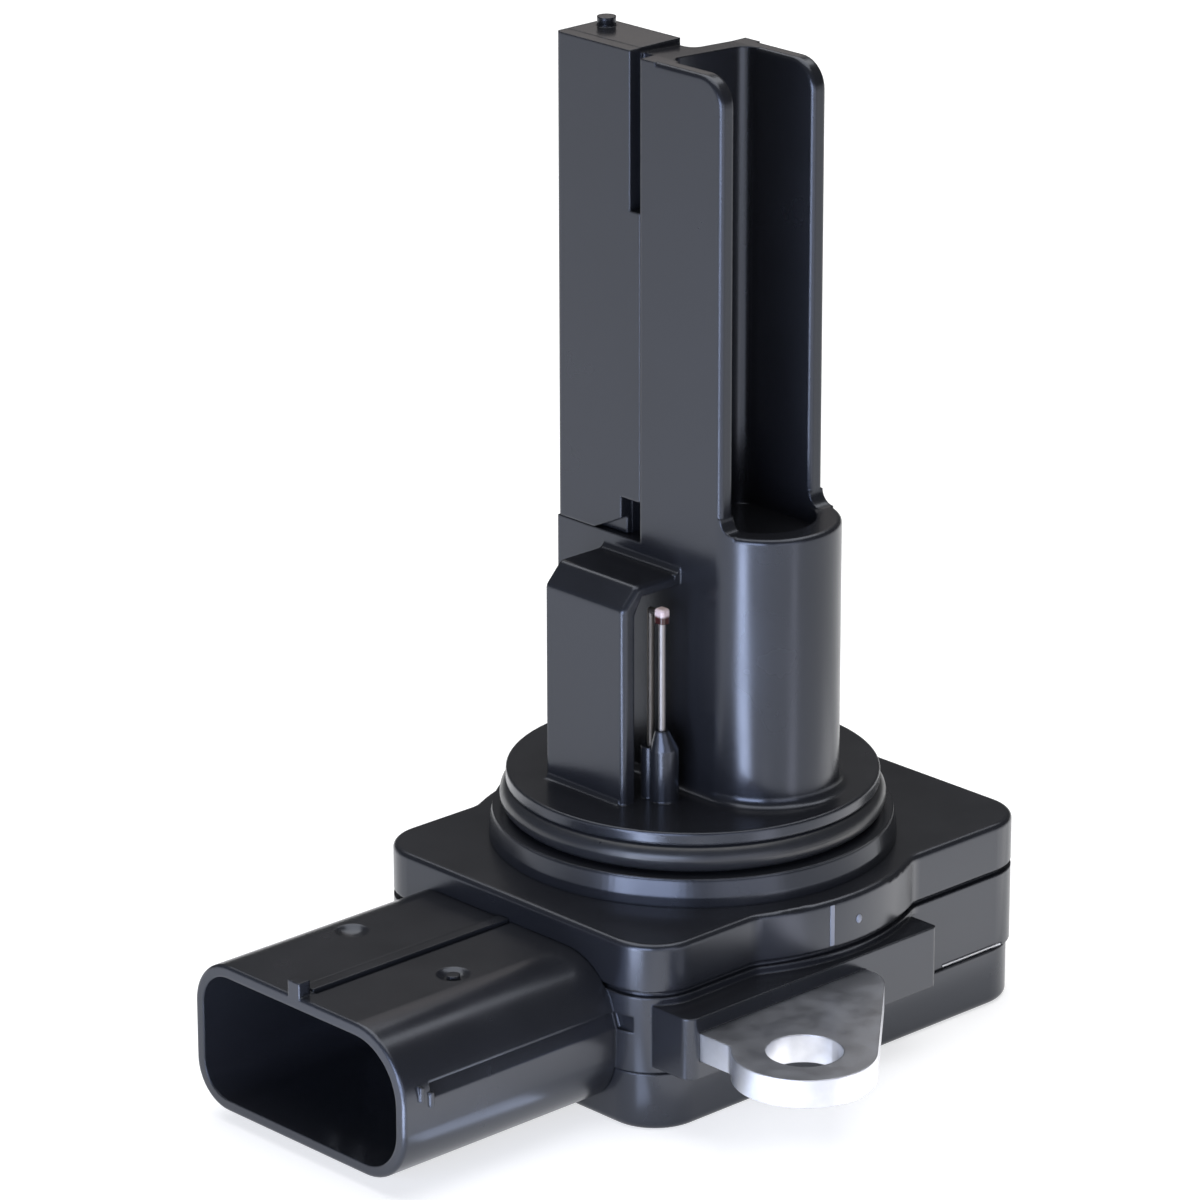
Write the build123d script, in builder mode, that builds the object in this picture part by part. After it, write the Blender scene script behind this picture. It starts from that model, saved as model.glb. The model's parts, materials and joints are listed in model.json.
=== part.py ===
from build123d import *

import os
from math import cos, radians, sin, sqrt, tan

# Plug-in hot-film mass airflow sensor, in millimetres.
# Origin: axis of the round spigot, on the seating face of the flange plate.
# +Z runs out along the probe and -X is the way the connector points.

# ---- flange plate
PLATE_LENGTH = 42.8
PLATE_WIDTH = 32.4
PLATE_THICKNESS = 4.0
PLATE_OFFSET = 1.3            # plate's centre beyond the spigot axis, along X
PLATE_CORNER = 4.2
LOBE_OVERHANG = 2.25          # lobe's radius beyond half the plate's width
LOBE_BLEND = 2.5
PLATE_EDGE = 0.45
SEAM_CHAMFER = 0.13
SEAM_GROOVE_HEIGHT = 0.4      # open groove all round, under the plate
SEAM_GROOVE_DEPTH = 0.45

# ---- spigot and its ring
SHOULDER_RADIUS = 16.1
SHOULDER_HEIGHT = 2.3
DISC_RADIUS = 15.0
DISC_RIM = 1.0
DISC_EDGE = 0.2
RING_OUTER_RADIUS = 15.5
RING_SECTION = 2.35
RING_CLEARANCE = 0.04
SPIGOT_WALL = 2.1
SPIGOT_ROOF = 2.2

# ---- slab with the measuring passage
SLAB_FRONT = -4.3             # X of the face towards the connector
SLAB_DEPTH = 5.5
SLAB_INNER_Y = 2.9
SLAB_WIDTH = 8.2
SLAB_TOP = 64.8
SLAB_ROUND = 0.4
STEP_FILLET = 1.0
PASSAGE_BOTTOM = 31.0
PASSAGE_ROOF = 3.8            # solid left between the passage and the slab's end
PASSAGE_WALL = 1.3
INLET_BOTTOM = 38.0
INLET_HEIGHT = 10.0
INLET_WIDTH = 1.8
INLET_SHIFT = 0.4             # beyond the passage's middle, along X
OUTLET_WIDTH = 3.2
OUTLET_HEIGHT = 6.0

# ---- cover over the passage
LID_THICKNESS = 1.2
LID_BOTTOM = 25.1
LID_GAP = 0.05
LID_TONGUE = 0.6
LID_TONGUE_WALL = 0.8
LID_TONGUE_CLEARANCE = 0.08
SLOT_WIDTH = 1.15
SLOT_LENGTH = 12.8
SLOT_EXTRA_DEPTH = 0.3
WINDOW_WIDTH = 2.15
WINDOW_HEIGHT = 3.3
WINDOW_EXTRA_DEPTH = 1.6
RAMP_LENGTH = 3.2
RAMP_HEIGHT = 1.5
RAMP_DEPTH = 0.7
GATE_PIP_DIAMETER = 1.5
GATE_PIP_HEIGHT = 0.75
GATE_PIP_INSET = 1.5          # from the slab's two outer faces

# ---- open channel
CHANNEL_DEPTH = 11.3
CHANNEL_REACH = 7.35          # spigot axis to the mouth
CHANNEL_DROP = 0.4            # front wall's end below the slab's
CHANNEL_FALL = 0.4            # rear wall's end below the front wall's
CHANNEL_WALL = 1.45
WEB_THICKNESS = 1.6
TIP_ROUND = 2.4
LIP_ROUND = 0.4
CHANNEL_ROOT = 1.2
CHANNEL_FOOT = 1.2            # flare where a side wall meets the column
CHANNEL_SINK = 1.4            # floor below the column's rim
CHANNEL_RIM = 2.0             # rim left in front of the sunk floor

# ---- column under the channel
COLUMN_RADIUS = 5.8
COLUMN_AXIS_Y = -6.8
COLUMN_TOP = 28.0
COLUMN_LIP = 0.4
COLUMN_ROOT = 0.8

# ---- guard over the air-temperature bead
GUARD_REACH = 6.2
GUARD_PLUS_Y = 5.8
GUARD_WIDTH = 8.75
GUARD_TOP = 23.7
GUARD_WALL = 1.2
GUARD_ROOF = 0.9
GUARD_SLOPE_RUN = 1.6
GUARD_SLOPE_RISE = 1.65
GUARD_INNER_RUN = 2.0
GUARD_INNER_RISE = 1.4
GUARD_BEND = 0.7
GUARD_EDGE = 0.45             # upright edge beside the bead
GUARD_CROWN = 0.6             # fillet between the roof and the slab
GUARD_ROOT = 0.5

# ---- air-temperature bead, its leads and posts
BEAD_DEPTH = 0.95
BEAD_WIDTH = 1.05
BEAD_LENGTH = 1.2
BEAD_BOTTOM = 20.6
BEAD_ROUND = 0.25
BEAD_SIDE_ROUND = 0.3
LEAD_DIAMETER = 0.6
LEAD_LINK_DROP = 0.5          # cross link's axis below the bead's top
LEAD_CLEARANCE = 0.04
LEAD_A_X = -7.25
LEAD_A_Y = -3.95
LEAD_B_X = -7.25
LEAD_B_Y = -2.7
POST_DIAMETER = 2.3
POST_HEIGHT = 4.3
POST_CONE = 1.6
POST_TIP_DIAMETER = 1.1
POST_OFFSET = 0.3             # post's axis beside the lead it carries
SIDE_POST_DIAMETER = 1.6

# ---- electronics housing
HOUSING_HEIGHT = 6.75
HOUSING_RIM = 1.0             # upper band that follows the plate's outline
HOUSING_WALL = 2.2
SHELF_WIDTH = 1.2
EAR_BLOCK_STANDOUT = 3.0
EAR_BLOCK_HEIGHT = 5.1
EAR_BLOCK_LENGTH = 27.35
EAR_BLOCK_INSET = 1.2         # from the plate's end on the ear's side
EAR_BLOCK_ROOT = 1.6          # how far it reaches into the housing's wall
EAR_BLOCK_ROUND = 1.0
EAR_BLOCK_FAR_ROUND = 0.4
SEAL_WIDTH = 0.9
SEAL_HEIGHT = 0.6
SEAL_INSET = 0.95
SEAL_CLEARANCE = 0.03

# ---- connector
SHROUD_LENGTH = 21.9
SHROUD_WIDTH = 24.4
SHROUD_HEIGHT = 12.3
SHROUD_RISE = 1.9             # top of the shroud above the housing's top
SHROUD_WALL = 0.95
SOCKET_DEPTH = 17.0
CORNER_PLUS_TOP = 4.0
CORNER_MINUS_TOP = 5.6
CORNER_MINUS_BOTTOM = 4.6
CORNER_PLUS_BOTTOM = 3.6
MOUTH_ROUND = 0.3
SHROUD_GAP = 0.06             # behind the shroud, to the plate and the lower cover
KEY_RIB_Y = 0.5
KEY_RIB_WIDTH = 1.1
KEY_RIB_HEIGHT = 0.22
KEY_GROOVE_WIDTH = 0.35       # on both sides of the rib
KEY_GROOVE_DEPTH = 0.3
KEY_RIB_SETBACK = 1.6
LUG_Y = 0.4
LUG_WIDTH = 1.3
LUG_LENGTH = 1.1
LUG_HEIGHT = 1.2
POCKET_DIAMETER = 2.7
POCKET_DEPTH = 0.5
POCKET_SETBACK = 11.7
POCKET_PLUS_Y = 7.0
POCKET_MINUS_Y = -4.8
POCKET_PIN_DIAMETER = 1.1
POCKET_PIN_DROP = 0.05
RAIL_DROP = 4.0               # below the shroud's top
RAIL_HEIGHT = 1.3
RAIL_DEPTH = 0.5
RAIL_SETBACK = 2.7
RAIL_RUN_ON = 0.4             # how far it runs on into the housing's corner
NIB_SIZE = 0.35
NIB_HEIGHT = 1.2
NIB_STAGGER = 1.0
NIB_DROP = 0.7

# ---- lower cover
COVER_HEIGHT = 4.75
COVER_PROUD = 0.2
COVER_END_INSET = 0.6         # at the end away from the connector
COVER_WALL = 2.2
COVER_FLOOR = 1.4
COVER_EDGE = 0.6
NOTCH_LENGTH = 7.0
NOTCH_HEIGHT = 0.3
NOTCH_DEPTH = 0.5
NOTCH_RISE = 0.02             # above the cover
NOTCH_INSET = 3.4             # from the end away from the connector

# ---- steel mounting ears
EAR_THICKNESS = 2.3
EAR_DROP = 2.3                # top of the ear below the housing's top
EAR_HOLE_DIAMETER = 6.0
EAR_RING_RADIUS = 5.6
EAR_HOLE_INSET = 4.6          # from the ear block's end
EAR_HOLE_REACH = 7.8          # from the ear block's face
EAR_SIDE = 3.55               # straight side, from the hole's axis
EAR_WIDTH = 18.2
EAR_SLANT = 42.0
EAR_BEND = 3.2
EAR_NOTCH_FILLET = 0.9
EAR_ANCHOR = 3.9
EAR_CLEARANCE = 0.03

# ---- terminals
TERMINAL_COUNT = 5
TERMINAL_SPACING = 3.0
TERMINAL_WIDTH = 1.2
TERMINAL_THICKNESS = 0.64
TERMINAL_SETBACK = 8.0        # tips behind the mouth
TERMINAL_LANDING = 3.4        # length that lies on the board
TERMINAL_TIP_BEVEL = 0.18
TERMINAL_CLEARANCE = 0.03

# ---- circuit board and what it carries
BOARD_THICKNESS = 0.8
BOARD_CLEARANCE = 0.2
CHIP_SIZE = 8.0
CHIP_HEIGHT = 1.4
CHIP_X = 9.0
CHIP_Y = -4.0
REGULATOR_LENGTH = 6.0
REGULATOR_WIDTH = 4.0
REGULATOR_HEIGHT = 1.6
REGULATOR_X = 9.0
REGULATOR_Y = 7.0
CAPACITOR_LENGTH = 3.2
CAPACITOR_WIDTH = 1.6
CAPACITOR_HEIGHT = 1.3
CAPACITOR_X = -8.0
CAPACITOR_Y = 10.5
CARRIER_WIDTH = 3.0
CARRIER_THICKNESS = 0.8
CARRIER_REACH = 12.0          # how far it stands into the passage
CARRIER_CLEARANCE = 0.05
ELEMENT_SIZE = 2.2
ELEMENT_THICKNESS = 0.4
ELEMENT_SETBACK = 1.0
COMPONENT_BEVEL_SHARE = 0.125  # of its height

# ---- how forms run into and past each other
OVERLAP = 0.5                 # of a form with the one that carries it
CUT_OVER = 1.0                # of a cut past the surface that it opens
NECK_INSET = 0.4              # of the connector's neck within the housing's end wall
LEAST_CORNER = 0.3            # corner radius that a shrunk outline keeps
LEVEL_TOLERANCE = 0.01

# ---- derived places
plate_minus_x = PLATE_OFFSET - PLATE_LENGTH / 2
plate_plus_x = PLATE_OFFSET + PLATE_LENGTH / 2
plate_side = PLATE_WIDTH / 2
lobe_radius = plate_side + LOBE_OVERHANG
housing_top = -PLATE_THICKNESS
housing_bottom = housing_top - HOUSING_HEIGHT
groove_width = RING_SECTION + 2 * RING_CLEARANCE
groove_root = RING_OUTER_RADIUS - RING_SECTION - RING_CLEARANCE
groove_top = SHOULDER_HEIGHT + groove_width
disc_top = groove_top + DISC_RIM
spigot_bore = groove_root - SPIGOT_WALL
spigot_ceiling = disc_top - SPIGOT_ROOF

slab_rear = SLAB_FRONT + SLAB_DEPTH
slab_outer_y = SLAB_INNER_Y + SLAB_WIDTH
lid_back = SLAB_FRONT + LID_THICKNESS
lid_inner_y = WEB_THICKNESS + LID_GAP
passage_rear = slab_rear - PASSAGE_WALL
passage_y0 = SLAB_INNER_Y + PASSAGE_WALL
passage_y1 = slab_outer_y - PASSAGE_WALL
passage_top = SLAB_TOP - PASSAGE_ROOF
passage_mid_y = (passage_y0 + passage_y1) / 2
window_bottom = LID_BOTTOM
guard_front = SLAB_FRONT - GUARD_REACH
guard_minus_y = GUARD_PLUS_Y - GUARD_WIDTH

channel_rear = SLAB_FRONT + CHANNEL_DEPTH
channel_inner_front = SLAB_FRONT + CHANNEL_WALL
channel_inner_rear = channel_rear - CHANNEL_WALL
channel_mid_x = (channel_inner_front + channel_inner_rear) / 2
channel_half = (channel_inner_rear - channel_inner_front) / 2
column_x = SLAB_FRONT + COLUMN_RADIUS
channel_top = SLAB_TOP - CHANNEL_DROP
channel_rear_top = channel_top - CHANNEL_FALL

shroud_top = housing_top + SHROUD_RISE
shroud_bottom = shroud_top - SHROUD_HEIGHT
shroud_middle = (shroud_top + shroud_bottom) / 2
shroud_mouth = plate_minus_x - SHROUD_LENGTH
socket_floor = shroud_mouth + SOCKET_DEPTH
block_face = plate_side + EAR_BLOCK_STANDOUT
block_minus_x = plate_minus_x + EAR_BLOCK_INSET
block_plus_x = block_minus_x + EAR_BLOCK_LENGTH
block_root = plate_side - EAR_BLOCK_ROOT
ear_top = housing_top - EAR_DROP
ear_hole_x = block_minus_x + EAR_HOLE_INSET
ear_hole_y = -block_face - EAR_HOLE_REACH

terminal_bottom = shroud_middle - TERMINAL_THICKNESS / 2
board_top = terminal_bottom
board_bottom = board_top - BOARD_THICKNESS
cavity_minus_x = plate_minus_x + HOUSING_WALL
cavity_plus_x = plate_plus_x - HOUSING_WALL
cavity_side = plate_side - HOUSING_WALL
cavity_corner = max(PLATE_CORNER - HOUSING_WALL, LEAST_CORNER)
carrier_x = (lid_back + passage_rear) / 2
carrier_top = PASSAGE_BOTTOM + CARRIER_REACH


def block(x0, x1, y0, y1, z0, z1, mode=Mode.ADD):
    """Add or cut a block, given by its limits, in the part that is open."""
    with Locations(((x0 + x1) / 2, (y0 + y1) / 2, (z0 + z1) / 2)):
        Box(x1 - x0, y1 - y0, z1 - z0, mode=mode)


def body_outline(grow=0.0, end_inset=0.0):
    """Rounded rectangle that plate, housing and lower cover share."""
    with BuildSketch() as outline:
        with Locations((PLATE_OFFSET - end_inset / 2, 0)):
            RectangleRounded(PLATE_LENGTH - end_inset, PLATE_WIDTH + 2 * grow, PLATE_CORNER)
    return outline.sketch


def lobed_outline(shrink=0.0):
    """Body outline with a round lobe on each long side."""
    with BuildSketch() as outline:
        add(body_outline())
        Circle(lobe_radius)
        junction = sqrt(lobe_radius**2 - plate_side**2)
        for x, y in ((1, 1), (1, -1), (-1, 1), (-1, -1)):
            corner = outline.vertices().sort_by_distance((x * junction, y * plate_side, 0))[0]
            fillet(corner, LOBE_BLEND)
        if shrink:
            offset(amount=-shrink, mode=Mode.REPLACE)
    return outline.sketch


def frame_outline(inset, width):
    """Closed band of the given width that runs inside the body outline."""
    with BuildSketch() as band:
        with Locations((PLATE_OFFSET, 0)):
            RectangleRounded(
                PLATE_LENGTH - 2 * inset,
                PLATE_WIDTH - 2 * inset,
                max(PLATE_CORNER - inset, LEAST_CORNER),
            )
            RectangleRounded(
                PLATE_LENGTH - 2 * (inset + width),
                PLATE_WIDTH - 2 * (inset + width),
                max(PLATE_CORNER - inset - width, LEAST_CORNER),
                mode=Mode.SUBTRACT,
            )
    return band.sketch


def shroud_section(shrink=0.0):
    """Connector section in its own plane: x is -Y and y is Z of the part."""
    half = SHROUD_WIDTH / 2
    tall = SHROUD_HEIGHT / 2
    corners = (
        ((-half, tall), CORNER_PLUS_TOP),
        ((half, tall), CORNER_MINUS_TOP),
        ((half, -tall), CORNER_MINUS_BOTTOM),
        ((-half, -tall), CORNER_PLUS_BOTTOM),
    )
    with BuildSketch() as section:
        Rectangle(SHROUD_WIDTH, SHROUD_HEIGHT)
        for (x, y), radius in corners:
            corner = section.vertices().sort_by_distance((x, y, 0))[0]
            fillet(corner, radius)
        if shrink:
            offset(amount=-shrink, mode=Mode.REPLACE)
    return section.sketch


def shroud_plane(x):
    """Plane across the connector at the given X, looking back along it."""
    return Plane(origin=(x, 0, shroud_middle), x_dir=(0, -1, 0), z_dir=(-1, 0, 0))


def column_outline():
    """Column in plan: round towards the channel's mouth, square towards the slab."""
    with BuildSketch() as outline:
        with Locations((column_x, COLUMN_AXIS_Y)):
            Circle(COLUMN_RADIUS)
        with Locations((column_x, (COLUMN_AXIS_Y + WEB_THICKNESS) / 2)):
            Rectangle(2 * COLUMN_RADIUS, WEB_THICKNESS - COLUMN_AXIS_Y)
    return outline.sketch


def channel_side(x0, top):
    """One side wall of the open channel, with its tip and lip rounded."""
    foot = COLUMN_TOP - COLUMN_LIP - OVERLAP
    mouth = -CHANNEL_REACH
    with BuildPart() as flare:
        with BuildSketch(Plane.YZ.offset(x0)):
            with BuildLine():
                Polyline(
                    (mouth, COLUMN_TOP + CHANNEL_FOOT),
                    (mouth + CHANNEL_FOOT, COLUMN_TOP + CHANNEL_FOOT),
                    (mouth + CHANNEL_FOOT, foot),
                    (mouth - CHANNEL_FOOT, foot),
                    (mouth - CHANNEL_FOOT, COLUMN_TOP),
                )
                RadiusArc(
                    (mouth - CHANNEL_FOOT, COLUMN_TOP),
                    (mouth, COLUMN_TOP + CHANNEL_FOOT),
                    -CHANNEL_FOOT,
                )
            make_face()
        extrude(amount=CHANNEL_WALL)
        with BuildSketch(Plane.XY.offset(foot - OVERLAP)):
            add(column_outline())
        extrude(amount=CHANNEL_FOOT + COLUMN_LIP + 3 * OVERLAP, mode=Mode.INTERSECT)
    with BuildPart() as wall:
        with BuildSketch(Plane.YZ.offset(x0)):
            with Locations(((WEB_THICKNESS - CHANNEL_REACH) / 2, (foot + top) / 2)):
                Rectangle(WEB_THICKNESS + CHANNEL_REACH, top - foot)
        extrude(amount=CHANNEL_WALL)
        tip = wall.edges().filter_by(Axis.X).sort_by_distance((x0, mouth, top))[0]
        fillet(tip, TIP_ROUND)
        across = wall.edges().filter_by(Axis.X)
        lips = [
            edge
            for edge in wall.edges()
            if edge not in across
            and edge.center().Z > foot + LEVEL_TOLERANCE
            and edge.center().Y < WEB_THICKNESS - LEVEL_TOLERANCE
        ]
        fillet(lips, min(LIP_ROUND, 0.45 * CHANNEL_WALL))
        add(flare.part)
    return wall.part


# ------------------------------------------------------------------ duct body
with BuildPart() as column:
    with BuildSketch(Plane.XY.offset(disc_top - DISC_RIM / 2)):
        add(column_outline())
    extrude(amount=COLUMN_TOP - disc_top + DISC_RIM / 2)
    fillet(column.faces().sort_by(Axis.Z)[-1].edges(), COLUMN_LIP)

with BuildPart() as guard:
    inner_roof = GUARD_TOP - GUARD_ROOF
    with BuildSketch(Plane.XZ.offset(-GUARD_PLUS_Y)):
        with BuildLine():
            Polyline(
                (SLAB_FRONT + OVERLAP, disc_top - OVERLAP),
                (guard_front, disc_top - OVERLAP),
                (guard_front, GUARD_TOP - GUARD_SLOPE_RISE),
                (guard_front + GUARD_SLOPE_RUN, GUARD_TOP),
                (SLAB_FRONT + OVERLAP, GUARD_TOP),
                close=True,
            )
        make_face()
    extrude(amount=GUARD_WIDTH)
    bend = guard.edges().filter_by(Axis.Y).sort_by_distance((guard_front, 0, GUARD_TOP))[0:2]
    fillet(bend, GUARD_BEND)
    upright = guard.edges().filter_by(Axis.Z).sort_by_distance((guard_front, guard_minus_y, disc_top))[0]
    fillet(upright, GUARD_EDGE)
    with BuildSketch(Plane.XZ.offset(-GUARD_PLUS_Y - CUT_OVER)):
        with BuildLine():
            Polyline(
                (SLAB_FRONT + CUT_OVER, disc_top - CUT_OVER),
                (guard_front + GUARD_WALL, disc_top - CUT_OVER),
                (guard_front + GUARD_WALL, inner_roof - GUARD_INNER_RISE),
                (guard_front + GUARD_INNER_RUN, inner_roof),
                (SLAB_FRONT + CUT_OVER, inner_roof),
                close=True,
            )
        make_face()
    extrude(amount=GUARD_WIDTH + 2 * CUT_OVER, mode=Mode.SUBTRACT)
    # concave root on the disc, and concave crown against the slab
    block(guard_front - GUARD_ROOT, guard_front + GUARD_EDGE, guard_minus_y + GUARD_EDGE, GUARD_PLUS_Y,
          disc_top - OVERLAP, disc_top + GUARD_ROOT)
    with BuildSketch(Plane.XZ.offset(-GUARD_PLUS_Y)):
        with Locations((guard_front - GUARD_ROOT, disc_top + GUARD_ROOT)):
            Circle(GUARD_ROOT)
    extrude(amount=GUARD_WIDTH, mode=Mode.SUBTRACT)
    block(SLAB_FRONT - GUARD_CROWN, SLAB_FRONT + OVERLAP, guard_minus_y, GUARD_PLUS_Y,
          GUARD_TOP - GUARD_ROOF / 2, GUARD_TOP + GUARD_CROWN)
    with BuildSketch(Plane.XZ.offset(-GUARD_PLUS_Y)):
        with Locations((SLAB_FRONT - GUARD_CROWN, GUARD_TOP + GUARD_CROWN)):
            Circle(GUARD_CROWN)
    extrude(amount=GUARD_WIDTH, mode=Mode.SUBTRACT)

with BuildPart() as duct_body:
    with BuildSketch():
        add(lobed_outline())
    extrude(amount=-PLATE_THICKNESS)
    fillet(duct_body.faces().sort_by(Axis.Z)[-1].edges(), PLATE_EDGE)
    chamfer(duct_body.faces().sort_by(Axis.Z)[0].edges(), SEAM_CHAMFER)
    # spigot: shoulder, ring groove, disc
    with BuildSketch(Plane.XY.offset(-PLATE_THICKNESS / 2)):
        Circle(SHOULDER_RADIUS)
    extrude(amount=PLATE_THICKNESS / 2 + SHOULDER_HEIGHT)
    with BuildSketch(Plane.XY.offset(SHOULDER_HEIGHT)):
        Circle(groove_root)
    extrude(amount=groove_width)
    with BuildSketch(Plane.XY.offset(groove_top)):
        Circle(DISC_RADIUS)
    extrude(amount=DISC_RIM)
    fillet(duct_body.faces().sort_by(Axis.Z)[-1].edges(), DISC_EDGE)
    # probe: column, slab and channel
    add(column.part)
    block(SLAB_FRONT, slab_rear, WEB_THICKNESS - OVERLAP, slab_outer_y, groove_top, LID_BOTTOM)
    root = duct_body.edges().filter_by_position(
        Axis.Z, disc_top - LEVEL_TOLERANCE, disc_top + LEVEL_TOLERANCE
    )
    root = [edge for edge in root if edge.geom_type != GeomType.CIRCLE or edge.radius < DISC_RADIUS / 2]
    fillet(root, COLUMN_ROOT)
    block(lid_back, slab_rear, WEB_THICKNESS - OVERLAP, slab_outer_y, LID_BOTTOM - OVERLAP, channel_top)
    # web between the side walls, rounded into them, and into the slab behind
    with BuildSketch(Plane.XY.offset(COLUMN_TOP - CHANNEL_SINK - OVERLAP)):
        with Locations((channel_mid_x, (WEB_THICKNESS - CHANNEL_ROOT) / 2)):
            Rectangle(CHANNEL_DEPTH - CHANNEL_WALL, WEB_THICKNESS + CHANNEL_ROOT)
        with Locations((channel_mid_x, -CHANNEL_REACH / 2)):
            RectangleRounded(2 * channel_half, CHANNEL_REACH, CHANNEL_ROOT, mode=Mode.SUBTRACT)
        with Locations((channel_mid_x, WEB_THICKNESS / 2)):
            Rectangle(CHANNEL_DEPTH, WEB_THICKNESS)
    extrude(amount=channel_top - COLUMN_TOP + CHANNEL_SINK + OVERLAP)
    with BuildSketch(Plane.XY.offset(disc_top)):
        with Locations((slab_rear + STEP_FILLET / 2, WEB_THICKNESS + STEP_FILLET / 2)):
            Rectangle(STEP_FILLET, STEP_FILLET)
        with Locations((slab_rear + STEP_FILLET, WEB_THICKNESS + STEP_FILLET)):
            Circle(STEP_FILLET, mode=Mode.SUBTRACT)
    extrude(amount=channel_top - disc_top)
    # the end falls away from the front wall to the rear wall
    with BuildSketch(Plane.XZ.offset(-slab_outer_y)):
        with BuildLine():
            Polyline(
                (channel_inner_front, channel_top),
                (channel_inner_rear, channel_rear_top),
                (channel_rear + CUT_OVER, channel_rear_top),
                (channel_rear + CUT_OVER, channel_top + CUT_OVER),
                (channel_inner_front, channel_top + CUT_OVER),
                close=True,
            )
        make_face()
    extrude(amount=slab_outer_y + CHANNEL_REACH, mode=Mode.SUBTRACT)
    block(lid_back, slab_rear, SLAB_INNER_Y, slab_outer_y, channel_rear_top - CUT_OVER, SLAB_TOP)
    add(channel_side(SLAB_FRONT, channel_top))
    add(channel_side(channel_inner_rear, channel_rear_top))
    # floor of the channel, sunk in the column
    with BuildSketch(Plane.XY.offset(COLUMN_TOP)):
        sink_y = COLUMN_AXIS_Y - COLUMN_RADIUS + CHANNEL_RIM + channel_half
        with Locations((channel_mid_x, sink_y)):
            Circle(channel_half)
        with Locations((channel_mid_x, sink_y / 2)):
            RectangleRounded(2 * channel_half, -sink_y, CHANNEL_ROOT)
        with Locations((channel_mid_x, (sink_y - CHANNEL_ROOT) / 2)):
            Rectangle(2 * channel_half, -sink_y - CHANNEL_ROOT)
    extrude(amount=-CHANNEL_SINK, mode=Mode.SUBTRACT)
    add(guard.part)
    # posts that carry the air-temperature leads
    with BuildSketch(Plane.XY.offset(disc_top - OVERLAP)):
        with Locations((LEAD_A_X + POST_OFFSET, LEAD_A_Y)):
            Circle(POST_DIAMETER / 2)
    extrude(amount=POST_HEIGHT + OVERLAP)
    with BuildSketch(Plane.XY.offset(disc_top + POST_HEIGHT)):
        with Locations((LEAD_A_X + POST_OFFSET, LEAD_A_Y)):
            Circle(POST_DIAMETER / 2)
    with BuildSketch(Plane.XY.offset(disc_top + POST_HEIGHT + POST_CONE)):
        with Locations((LEAD_A_X, LEAD_A_Y)):
            Circle(POST_TIP_DIAMETER / 2)
    loft()
    with BuildSketch(Plane.XY.offset(disc_top - OVERLAP)):
        with Locations((LEAD_B_X, LEAD_B_Y)):
            Circle(SIDE_POST_DIAMETER / 2)
    extrude(amount=POST_HEIGHT + OVERLAP)
    # hollow spigot, passage, ports
    with BuildSketch(Plane.XY.offset(-PLATE_THICKNESS)):
        Circle(spigot_bore)
    extrude(amount=PLATE_THICKNESS + spigot_ceiling, mode=Mode.SUBTRACT)
    block(lid_back - CUT_OVER, passage_rear, passage_y0, passage_y1, PASSAGE_BOTTOM, passage_top,
          Mode.SUBTRACT)
    inlet_x = (lid_back + passage_rear) / 2 + INLET_SHIFT
    block(inlet_x - INLET_WIDTH / 2, inlet_x + INLET_WIDTH / 2, -CUT_OVER, passage_y0 + CUT_OVER,
          INLET_BOTTOM, INLET_BOTTOM + INLET_HEIGHT, Mode.SUBTRACT)
    outlet_y = OUTLET_WIDTH / 2
    block(passage_rear - CUT_OVER, slab_rear + CUT_OVER, passage_mid_y - outlet_y, passage_mid_y + outlet_y,
          passage_top - OUTLET_HEIGHT, passage_top, Mode.SUBTRACT)
    slit_x = CARRIER_THICKNESS / 2 + CARRIER_CLEARANCE
    slit_y = CARRIER_WIDTH / 2 + CARRIER_CLEARANCE
    block(carrier_x - slit_x, carrier_x + slit_x, passage_mid_y - slit_y, passage_mid_y + slit_y,
          spigot_ceiling - CUT_OVER, PASSAGE_BOTTOM + CUT_OVER, Mode.SUBTRACT)
    # bottom of the slot and of the snap window
    block(lid_back - CUT_OVER, lid_back + SLOT_EXTRA_DEPTH, lid_inner_y, lid_inner_y + SLOT_WIDTH,
          SLAB_TOP - SLOT_LENGTH, SLAB_TOP + CUT_OVER, Mode.SUBTRACT)
    block(lid_back - CUT_OVER, lid_back + WINDOW_EXTRA_DEPTH, lid_inner_y, lid_inner_y + WINDOW_WIDTH,
          window_bottom, window_bottom + WINDOW_HEIGHT, Mode.SUBTRACT)
    # lead holes
    with BuildSketch(Plane.XY.offset(spigot_ceiling - CUT_OVER)):
        with Locations((LEAD_A_X, LEAD_A_Y), (LEAD_B_X, LEAD_B_Y)):
            Circle(LEAD_DIAMETER / 2 + LEAD_CLEARANCE)
    extrude(amount=disc_top - spigot_ceiling + POST_HEIGHT + POST_CONE + 2 * CUT_OVER, mode=Mode.SUBTRACT)
    # gate pip on the slab's end
    with BuildSketch(Plane.XY.offset(SLAB_TOP)):
        with Locations((slab_rear - GATE_PIP_INSET, slab_outer_y - GATE_PIP_INSET)):
            Circle(GATE_PIP_DIAMETER / 2)
    extrude(amount=GATE_PIP_HEIGHT)
duct_body.part.label = "duct_body"

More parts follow.
